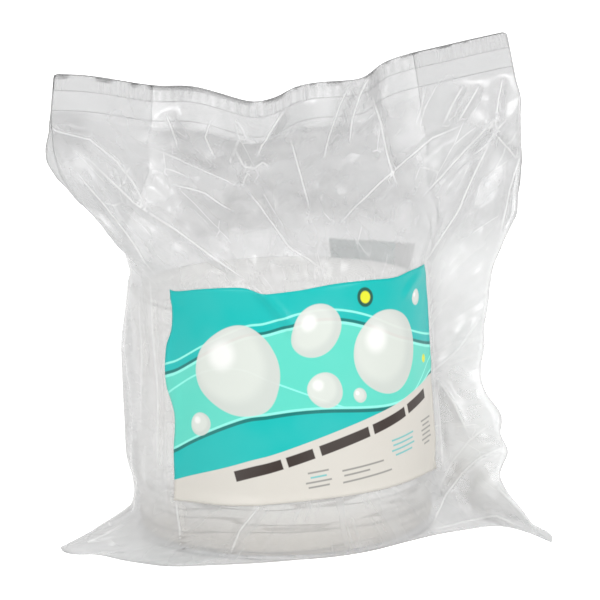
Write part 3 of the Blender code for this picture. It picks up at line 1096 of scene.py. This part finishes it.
def grain_group():
    """Fine unevenness for every soft surface here: a height and a tone that change over it."""
    tree = bpy.data.node_groups.new("soft_grain", "ShaderNodeTree")
    for name, way, kind in (
        ("Scale", "INPUT", "Float"),
        ("Stretch", "INPUT", "Vector"),
        ("Height", "OUTPUT", "Float"),
        ("Tone", "OUTPUT", "Float"),
    ):
        tree.interface.new_socket(name, in_out=way, socket_type="NodeSocket" + kind)
    given = tree.nodes.new("NodeGroupInput").outputs
    made = tree.nodes.new("NodeGroupOutput")
    inputs = {0: object_place(tree), 1: given["Stretch"]}
    place = add(tree, "ShaderNodeVectorMath", inputs, operation="MULTIPLY").outputs[0]
    inputs = {"Vector": place, "Scale": given["Scale"], "Detail": 4.0, "Roughness": 0.6}
    fine = add(tree, "ShaderNodeTexNoise", inputs)
    inputs = {"Vector": place, "Scale": maths(tree, "MULTIPLY", given["Scale"], BROAD_GRAIN), "Detail": 2.0}
    broad = add(tree, "ShaderNodeTexNoise", inputs)
    tree.links.new(fine.outputs[0], made.inputs["Height"])
    tree.links.new(broad.outputs[0], made.inputs["Tone"])
    return tree


def use_grain(tree, scale, stretch=(1.0, 1.0, 1.0)):
    group = bpy.data.node_groups.get("soft_grain") or grain_group()
    node = add(tree, "ShaderNodeGroup", node_tree=group)
    node.inputs["Scale"].default_value = scale
    node.inputs["Stretch"].default_value = stretch
    return node


def give_bump(tree, shader, height, distance, strength=1.0):
    bump = add(tree, "ShaderNodeBump", {"Height": height, "Distance": distance, "Strength": strength})
    tree.links.new(bump.outputs[0], shader.inputs["Normal"])


def times(tree, *factors):
    """The product of masks and numbers."""
    product = factors[0]
    for factor in factors[1:]:
        product = maths(tree, "MULTIPLY", product, factor)
    return product


def parts_of(tree, vector):
    """A vector's three parts."""
    parts = add(tree, "ShaderNodeSeparateXYZ", {0: vector}).outputs
    return parts[0], parts[1], parts[2]


def object_place(tree):
    return add(tree, "ShaderNodeTexCoord").outputs["Object"]


def level_line(tree, value, at, half_width):
    """1 where a value is at a level, falling to 0 at half a width to each side."""
    off = maths(tree, "ABSOLUTE", maths(tree, "SUBTRACT", value, at))
    return ramp(tree, off, 0.0, half_width, 1.0, 0.0)


def fan_out(tree, aside, deep, high):
    """Coordinates in which crumples run outwards from the roll, as in film pulled over it."""
    above = maths(tree, "SUBTRACT", high, FAN_FOOT)
    reach = maths(tree, "SQRT", maths(tree, "MULTIPLY_ADD", aside, aside, times(tree, above, above)))
    turn = maths(tree, "ARCTAN2", aside, above)
    scaled = [times(tree, part, scale) for part, scale in zip((turn, deep, reach), FAN_SCALE)]
    return add(tree, "ShaderNodeCombineXYZ", dict(enumerate(scaled))).outputs[0]


def film_colour(tree, aside, high, up):
    """Darker, as painted shade, where only the two faces lie over each other and in the top left corner;
    lighter, as painted light, on the loose wing.
    """
    off_middle = maths(tree, "ABSOLUTE", maths(tree, "SUBTRACT", aside, THIN_MIDDLE))
    thin = times(tree, ramp(tree, off_middle, *THIN_SIDE, 1.0, 0.0), ramp(tree, high, *THIN_HEIGHT))
    corner = times(
        tree,
        ramp(tree, aside, *CORNER_SIDE, CORNER_SHARE, 0.0),
        ramp(tree, high, *CORNER_HEIGHT),
        ramp(tree, up, SECOND_SEAL - SEAL_FADE, SECOND_SEAL, 1.0, 0.0),
    )
    wing = times(
        tree,
        ramp(tree, aside, *WING_SIDE),
        ramp(tree, high, *WING_TOP, 1.0, 0.0),
        ramp(tree, high, *WING_HEIGHT),
    )
    # painted shade: the film's colour darkened where only the two faces lie over each other and in the top
    # left corner
    colour = blend_colours(tree, maths(tree, "MAXIMUM", thin, corner), FILM_COLOUR, THIN_PAINTED_SHADE_COLOUR)
    # painted light: the film's colour lightened on the loose wing, less so towards its foot
    return blend_colours(tree, wing, colour, WING_PAINTED_LIGHT_COLOUR)


def film_marks(tree, across, up, crumple_edge, tone, loose):
    """Masks of the film's folds, its fine creases, and its seal's ribs and lines; the fine creases' mask
    only places their painted highlight.
    """
    offset = add(tree, "ShaderNodeAttribute", attribute_name="fold_offset").outputs["Fac"]
    strength = add(tree, "ShaderNodeAttribute", attribute_name="fold_strength").outputs["Fac"]
    fold = times(tree, level_line(tree, offset, 0.0, FOLD_LINE), strength)
    # the fine creases' lines, used only for their painted highlight
    fine = ramp(tree, crumple_edge, 0.0, CREASE_LINE, 1.0, 0.0)
    fine = times(tree, fine, loose, ramp(tree, tone, *CREASE_PLACES))
    band = ramp(tree, up, SEAL_BAND - BAND_EDGE, SEAL_BAND + BAND_EDGE)
    rib = times(tree, maths(tree, "SINE", times(tree, across, SEAL_RIBS * math.tau)), band)
    lines = [level_line(tree, up, at, SEAL_LINE) for at in (SEAL_BAND, SECOND_SEAL)]
    return fold, fine, rib, maths(tree, "MAXIMUM", *lines)


def film_material():
    """Milky film: it veils more where it is seen along its face, and on its creases and seals; its creases
    get a painted highlight, and its colour a painted shade and a painted light.
    """
    material, tree, shader = new_material("clear_film")
    shader.inputs["IOR"].default_value = FILM_IOR
    shader.inputs["Specular IOR Level"].default_value = FILM_GLOSS
    aside, deep, high = parts_of(tree, object_place(tree))
    across, up, _none = parts_of(tree, add(tree, "ShaderNodeUVMap", uv_map="film").outputs[0])
    spread = fan_out(tree, aside, deep, high)
    inputs = {"Vector": spread, "Scale": 1.0}
    crumples = add(tree, "ShaderNodeTexVoronoi", inputs, feature="DISTANCE_TO_EDGE")
    edge = crumples.outputs["Distance"]
    inputs = {"Vector": spread, "Scale": TONE_SCALE, "Detail": 2.0}
    tone = add(tree, "ShaderNodeTexNoise", inputs).outputs[0]
    loose = add(tree, "ShaderNodeAttribute", attribute_name="loose").outputs["Fac"]
    fold, fine, rib, seam = film_marks(tree, across, up, edge, tone, loose)
    # painted highlight: the lines of the folds and fine creases, whitened and veiled more
    lines = (times(tree, fold, FOLD_PAINTED_HIGHLIGHT), times(tree, fine, CREASE_PAINTED_HIGHLIGHT))
    painted_highlight = maths(tree, "MAXIMUM", *lines)

    facing = add(tree, "ShaderNodeLayerWeight", {"Blend": VEIL_BLEND}).outputs["Facing"]
    veil = ramp(tree, facing, 0.0, 1.0, FILM_VEIL, FILM_EDGE_VEIL, "LINEAR")
    veil = maths(tree, "ADD", veil, ramp(tree, tone, 0.35, 0.70, *VEIL_BLOOM))
    for mark, added in ((painted_highlight, HIGHLIGHT_VEIL), (rib, RIB_VEIL), (seam, SEAM_VEIL)):
        veil = maths(tree, "MULTIPLY_ADD", mark, added, veil)
    light = add(tree, "ShaderNodeLightPath").outputs
    passing = maths(tree, "MAXIMUM", light["Is Shadow Ray"], light["Is Diffuse Ray"])
    veil = times(tree, veil, maths(tree, "MULTIPLY_ADD", passing, -LIGHT_LET_IN, 1.0))
    tree.links.new(veil, shader.inputs["Alpha"])
    colour = film_colour(tree, aside, high, up)
    # painted highlight: the film's colour whitened along its creases
    tree.links.new(blend_colours(tree, painted_highlight, colour, CREASE_HIGHLIGHT_COLOUR), shader.inputs["Base Color"])
    tree.links.new(ramp(tree, tone, 0.3, 0.7, *FILM_ROUGHNESS), shader.inputs["Roughness"])

    height = times(tree, edge, CRUMPLE_RISE, loose)
    for mark, rise in ((fold, FOLD_RISE), (rib, RIB_RISE), (seam, RIB_RISE)):
        height = maths(tree, "MULTIPLY_ADD", mark, rise, height)
    give_bump(tree, shader, height, 1.0)
    return material


def wound_turns(tree, aside, deep, radius, tone):
    """A wave over the roll's ends that runs round with the wound web."""
    turn = maths(tree, "DIVIDE", maths(tree, "ARCTAN2", deep, aside), math.tau)
    layer = maths(tree, "SUBTRACT", maths(tree, "DIVIDE", radius, WEB_STEP), turn)
    wobble = times(tree, tone, 3.0)
    return maths(tree, "SINE", times(tree, maths(tree, "ADD", layer, wobble), math.tau))


def web_material():
    """Wet nonwoven web: fine fibres, the wound turns on both ends, level wrinkles, and painted shade
    between the turns, at the rim, towards the foot and in the wrinkles.
    """
    material, tree, shader = new_material("wipes_web")
    shader.inputs["Sheen Weight"].default_value = 0.15
    shader.inputs["Specular IOR Level"].default_value = 0.25
    grain = use_grain(tree, WEB_GRAIN, WEB_STRETCH).outputs
    tone = grain["Tone"]
    place = object_place(tree)
    aside, deep, high = parts_of(tree, place)
    across = maths(tree, "ADD", times(tree, aside, aside), times(tree, deep, deep))
    radius = maths(tree, "SQRT", across)
    facing = parts_of(tree, add(tree, "ShaderNodeNewGeometry").outputs["Normal"])[2]
    on_end = ramp(tree, maths(tree, "ABSOLUTE", facing), 0.6, 0.9)
    turns = times(tree, wound_turns(tree, aside, deep, radius, tone), on_end)
    rim = ramp(tree, radius, ROLL_RADIUS - RIM_WIDTHS[0], ROLL_RADIUS - RIM_WIDTHS[1])
    lying = add(tree, "ShaderNodeMapping", {"Vector": place, "Scale": WRINKLE_SCALE}).outputs[0]
    wrinkles = add(tree, "ShaderNodeTexNoise", {"Vector": lying, "Scale": 1.0, "Detail": 2.0}).outputs[0]
    low_down = ramp(tree, high, *WRINKLED_HEIGHTS, 1.0, WRINKLES_ABOVE)
    wrinkle = times(tree, level_line(tree, wrinkles, 0.5, WRINKLE_WIDTH), low_down)

    colour = blend_colours(tree, ramp(tree, tone, 0.3, 0.7), WEB_COLOUR, WEB_PALE)
    for share, shade in (
        # painted shade between the wound turns on the ends
        (ramp(tree, turns, -1.0, 1.0, 0.0, 0.25), TURN_SHADE),
        # painted shadow along the rim of the ends
        (times(tree, rim, on_end, 0.8), RIM_SHADE),
        # painted shade: the web darker and warmer towards its foot
        (ramp(tree, high, *FOOT_SHADE_HEIGHTS, 0.95, 0.0), FOOT_PAINTED_SHADE),
        # painted shade in the wrinkles' creases
        (times(tree, wrinkle, 0.75), WRINKLE_SHADE),
    ):
        colour = blend_colours(tree, share, colour, shade)
    tree.links.new(colour, shader.inputs["Base Color"])
    tree.links.new(ramp(tree, tone, 0.3, 0.7, 0.55, 0.8), shader.inputs["Roughness"])
    height = maths(tree, "ADD", grain["Height"], times(tree, turns, 0.8))
    give_bump(tree, shader, maths(tree, "SUBTRACT", height, wrinkle), 0.0006, 0.7)
    return material


class Print:
    """A label's artwork, painted mask by mask in millimetres from the label's lower left corner."""

    def __init__(self, tree, width, height, ground):
        self.tree = tree
        place = add(tree, "ShaderNodeUVMap", uv_map="label").outputs[0]
        inputs = {0: place, 1: (width * 1000.0, height * 1000.0, 1.0)}
        self.place = add(tree, "ShaderNodeVectorMath", inputs, operation="MULTIPLY").outputs[0]
        self.x, self.y = parts_of(tree, self.place)[:2]
        self.colour = ground

    def paint(self, mask, colour):
        self.colour = blend_colours(self.tree, mask, self.colour, colour)

    def disc(self, x, y, radius, soft=0.5):
        inputs = {0: self.place, 1: (x, y, 0.0)}
        distance = add(self.tree, "ShaderNodeVectorMath", inputs, operation="DISTANCE").outputs["Value"]
        return ramp(self.tree, distance, radius - soft, radius + soft, 1.0, 0.0)

    def bar(self, x, y, half_length, half_width, lean=0.0, soft=0.35):
        """A plain bar about a middle, leaning by an angle in degrees."""
        inputs = {"Vector": self.place, "Location": (x, y, 0.0), "Rotation": (0.0, 0.0, math.radians(lean))}
        turned = add(self.tree, "ShaderNodeMapping", inputs, vector_type="TEXTURE").outputs[0]
        off = add(self.tree, "ShaderNodeVectorMath", {0: turned}, operation="ABSOLUTE").outputs[0]
        along, aside, _none = parts_of(self.tree, off)
        past_end = maths(self.tree, "SUBTRACT", along, half_length)
        past_side = maths(self.tree, "SUBTRACT", aside, half_width)
        past = maths(self.tree, "MAXIMUM", past_end, past_side)
        return ramp(self.tree, past, -soft, soft, 1.0, 0.0)

    def below_wave(self, start, rise, swell, length, offset, soft=0.35):
        """Below a line that climbs to the right and swells in one long wave."""
        wave = maths(self.tree, "SINE", maths(self.tree, "MULTIPLY_ADD", self.x, math.tau / length, offset))
        line = maths(self.tree, "MULTIPLY_ADD", wave, swell, times(self.tree, self.x, rise))
        past = maths(self.tree, "SUBTRACT", maths(self.tree, "SUBTRACT", self.y, line), start)
        return ramp(self.tree, past, -soft, soft, 1.0, 0.0)

    def bubble(self, x, y, radius):
        """A pale bubble that lets a little through: a disc with a darker crescent and a lit spot."""
        whole = self.disc(x, y, radius)
        self.paint(times(self.tree, whole, 0.90), PALE)
        inner = self.disc(x - radius * 0.16, y + radius * 0.14, radius * 0.82, radius * 0.16)
        crescent = maths(self.tree, "SUBTRACT", whole, times(self.tree, whole, inner))
        self.paint(times(self.tree, crescent, 0.32), PALE_SHADE)
        lit = self.disc(x - radius * 0.34, y + radius * 0.34, radius * 0.30, radius * 0.14)
        self.paint(times(self.tree, lit, 0.75), PALE_LIT)


def front_print_material():
    """A teal label with paler waves, large pale bubbles, plain dark bars and rows of fine dashes."""
    material, tree, shader = new_material("front_print")
    shader.inputs["Specular IOR Level"].default_value = 0.2
    art = Print(tree, LABEL_ACROSS, LABEL_TALL, TEAL)
    for *line, colour in WAVES:
        art.paint(art.below_wave(*line), colour)
    for bubble in BUBBLES:
        art.bubble(*bubble)
    art.paint(art.disc(*YELLOW_SPOT), DARK_GREEN)
    art.paint(art.disc(YELLOW_SPOT[0], YELLOW_SPOT[1], YELLOW_SPOT[2] * 0.62), YELLOW)
    art.paint(art.disc(*SMALL_YELLOW_SPOT), YELLOW)
    art.paint(art.below_wave(*BAND_LINE), BAND)
    for x, y, half in DARK_BARS:
        art.paint(art.bar(x, y, half, DARK_BAR_HALF, BAR_LEAN), DARK_PRINT)
    for x, y, half, kind in FINE_BARS:
        art.paint(art.bar(x, y, half, FINE_BAR_HALF, FINE_BAR_LEAN, 0.3), FINE_INKS[kind])
    grain = use_grain(tree, PRINT_GRAIN).outputs
    art.paint(ramp(tree, grain["Tone"], 0.3, 0.7, 0.0, 0.03), WORN_PRINT)
    tree.links.new(art.colour, shader.inputs["Base Color"])
    tree.links.new(ramp(tree, grain["Tone"], 0.3, 0.7, 0.30, 0.40), shader.inputs["Roughness"])
    give_bump(tree, shader, grain["Height"], 0.0002, 0.5)
    return material


def back_print_material():
    """A grey-green label with fine level lines, a pale panel and a plain grey end."""
    material, tree, shader = new_material("back_print")
    shader.inputs["Specular IOR Level"].default_value = 0.3
    art = Print(tree, BACK_LABEL_ACROSS, BACK_LABEL_TALL, BACK_GREEN)
    lines = maths(tree, "PINGPONG", art.y, 1.1)
    art.paint(times(tree, ramp(tree, lines, 0.75, 0.95), 0.7), BACK_LINES)
    art.paint(art.bar(BACK_LABEL_ACROSS * 500.0, BACK_LABEL_TALL * 500.0 - 48.0, 27.0, 8.0), BACK_PANEL)
    art.paint(ramp(tree, art.x, 14.0, 13.0), BACK_END)
    grain = use_grain(tree, PRINT_GRAIN).outputs
    tree.links.new(art.colour, shader.inputs["Base Color"])
    tree.links.new(ramp(tree, grain["Tone"], 0.3, 0.7, 0.35, 0.5), shader.inputs["Roughness"])
    give_bump(tree, shader, grain["Height"], 0.0004, 0.35)
    return material


def make_roll():
    """The wound web: slack turns at its ends, soft dents and wrinkles on its outside."""
    middle_height = (ROLL_TOP + ROLL_FOOT) / 2
    half = (ROLL_TOP - ROLL_FOOT) / 2
    shape = bmesh.new()
    bmesh.ops.create_cone(
        shape,
        cap_ends=True,
        segments=ROLL_SIDES,
        radius1=ROLL_RADIUS - ROLL_SLACK,
        radius2=ROLL_RADIUS - ROLL_SLACK,
        depth=ROLL_TOP - ROLL_FOOT,
    )
    bmesh.ops.translate(shape, verts=shape.verts, vec=(0.0, 0.0, middle_height))
    upright = [edge for edge in shape.edges if abs(edge.verts[0].co.z - edge.verts[1].co.z) > half]
    bmesh.ops.subdivide_edges(shape, edges=upright, cuts=ROLL_CUTS, use_grid_fill=True)
    ends = [face for face in shape.faces if abs(face.normal.z) > 0.9]
    for inset in ROLL_INSETS:
        bmesh.ops.inset_region(shape, faces=ends, thickness=inset, use_even_offset=True)
    for vert in shape.verts:
        radius = vert.co.xy.length
        turn = math.atan2(vert.co.y, vert.co.x)
        level = vert.co.z - middle_height
        near_rim = smooth(radius, ROLL_RADIUS - RIM_START, ROLL_RADIUS - RIM_END)
        at_end = smooth(abs(level), half - RIM_HEIGHT, half)
        vert.co.z -= math.copysign(RIM_DROP * near_rim**2 * at_end, level)
        if radius > ROLL_RADIUS - ROLL_SKIN:
            along, aside = math.cos(turn), math.sin(turn)
            wrinkle = ROLL_WRINKLE * noise.noise(Vector((along * 4.0, aside * 4.0, level * 55.0)))
            dent = ROLL_DENT * noise.noise(Vector((along * 1.6, aside * 1.6, level * 12.0 + 4.0)))
            inwards = RIM_ROUND * at_end**2 + abs(wrinkle) + max(dent, 0.0)
            vert.co.xy *= 1.0 - inwards / max(radius, 0.001)
        else:
            ring = math.sin(radius / TURN_STEP * math.tau + turn) * 0.5 + noise.noise(vert.co * 60.0)
            vert.co.z -= math.copysign(TURN_DEPTH * (0.5 + 0.5 * ring) * smooth(radius, 0.0, 0.010), level)
    bmesh.ops.recalc_face_normals(shape, faces=shape.faces)
    return object_from("web_roll", shape)


def add_wall(thing, thickness, offset):
    wall = thing.modifiers.new("wall", "SOLIDIFY")
    wall.thickness = thickness
    wall.offset = offset
    wall.use_even_offset = False


def make_camera():
    place, right, up, back = camera_axes()
    camera = bpy.data.objects.new("camera", bpy.data.cameras.new("camera"))
    bpy.context.scene.collection.objects.link(camera)
    camera.data.sensor_width = CAMERA_SENSOR
    camera.data.lens = CAMERA_FOCAL_PIXELS / PHOTO_SIZE * CAMERA_SENSOR
    camera.data.clip_start = 0.01
    camera.data.clip_end = 20.0
    camera.matrix_world = Matrix.Translation(place) @ Matrix((right, up, back)).transposed().to_4x4()
    bpy.context.scene.camera = camera


def make_lamp(name, place, aim, side, power):
    lamp = bpy.data.objects.new(name, bpy.data.lights.new(name, "AREA"))
    bpy.context.scene.collection.objects.link(lamp)
    lamp.data.shape = "SQUARE"
    lamp.data.size = side
    lamp.data.energy = power
    lamp.location = place
    lamp.rotation_euler = (Vector(place) - Vector(aim)).to_track_quat("Z", "Y").to_euler()


def seen_directly(tree):
    """1 for what the camera sees, itself or through a reflection or glass."""
    light = add(tree, "ShaderNodeLightPath").outputs
    seen = maths(tree, "MAXIMUM", light["Is Camera Ray"], light["Is Glossy Ray"])
    return maths(tree, "MAXIMUM", seen, light["Is Transmission Ray"])


def make_floor():
    """A plain pale floor that shows white and keeps the object's shadow."""
    shape = bmesh.new()
    bmesh.ops.create_grid(shape, x_segments=1, y_segments=1, size=6.0)
    floor = object_from("floor", shape, smooth_shaded=False)
    material, tree, shader = new_material("pale_floor")
    shader.inputs["Base Color"].default_value = (0.9, 0.9, 0.9, 1.0)
    shader.inputs["Roughness"].default_value = 0.9
    shader.inputs["Specular IOR Level"].default_value = 0.0
    shader.inputs["Emission Color"].default_value = (1.0, 1.0, 1.0, 1.0)
    tree.links.new(times(tree, seen_directly(tree), FLOOR_GLOW), shader.inputs["Emission Strength"])
    floor.data.materials.append(material)


def make_surround():
    """White where it is seen, and a little less as light."""
    world = bpy.data.worlds.new("surround")
    bpy.context.scene.world = world
    world.use_nodes = True
    tree = world.node_tree
    strength = ramp(tree, seen_directly(tree), 0.0, 1.0, SURROUND_LIGHT, 1.0, "LINEAR")
    background = tree.nodes["Background"]
    background.inputs["Color"].default_value = (1.0, 1.0, 1.0, 1.0)
    tree.links.new(strength, background.inputs["Strength"])


def make_stage():
    make_floor()
    make_surround()
    for name, (place, aim, side, power) in LAMPS.items():
        make_lamp(name, place, aim, side, power)


def finish_piece(piece, material, node):
    piece.data.materials.clear()
    piece.data.materials.append(material)
    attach(piece, "root")
    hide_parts(node)


def main():
    scene = bpy.context.scene
    scene.view_settings.view_transform = "Standard"
    scene.cycles.transparent_max_bounces = 48
    make_camera()
    make_stage()
    film = make_film()
    tree = surface_of(film)
    add_wall(film, FILM_WALL, 0.0)
    finish_piece(film, film_material(), "film_bag")
    roll = make_roll()
    finish_piece(roll, web_material(), "wipes_roll")
    front = make_label("printed_label", tree, front_label_place, LABEL_CELLS)
    finish_piece(front, front_print_material(), "front_label")
    rear = make_label("rear_label", tree, back_label_place, BACK_LABEL_CELLS)
    finish_piece(rear, back_print_material(), "back_label")


main()
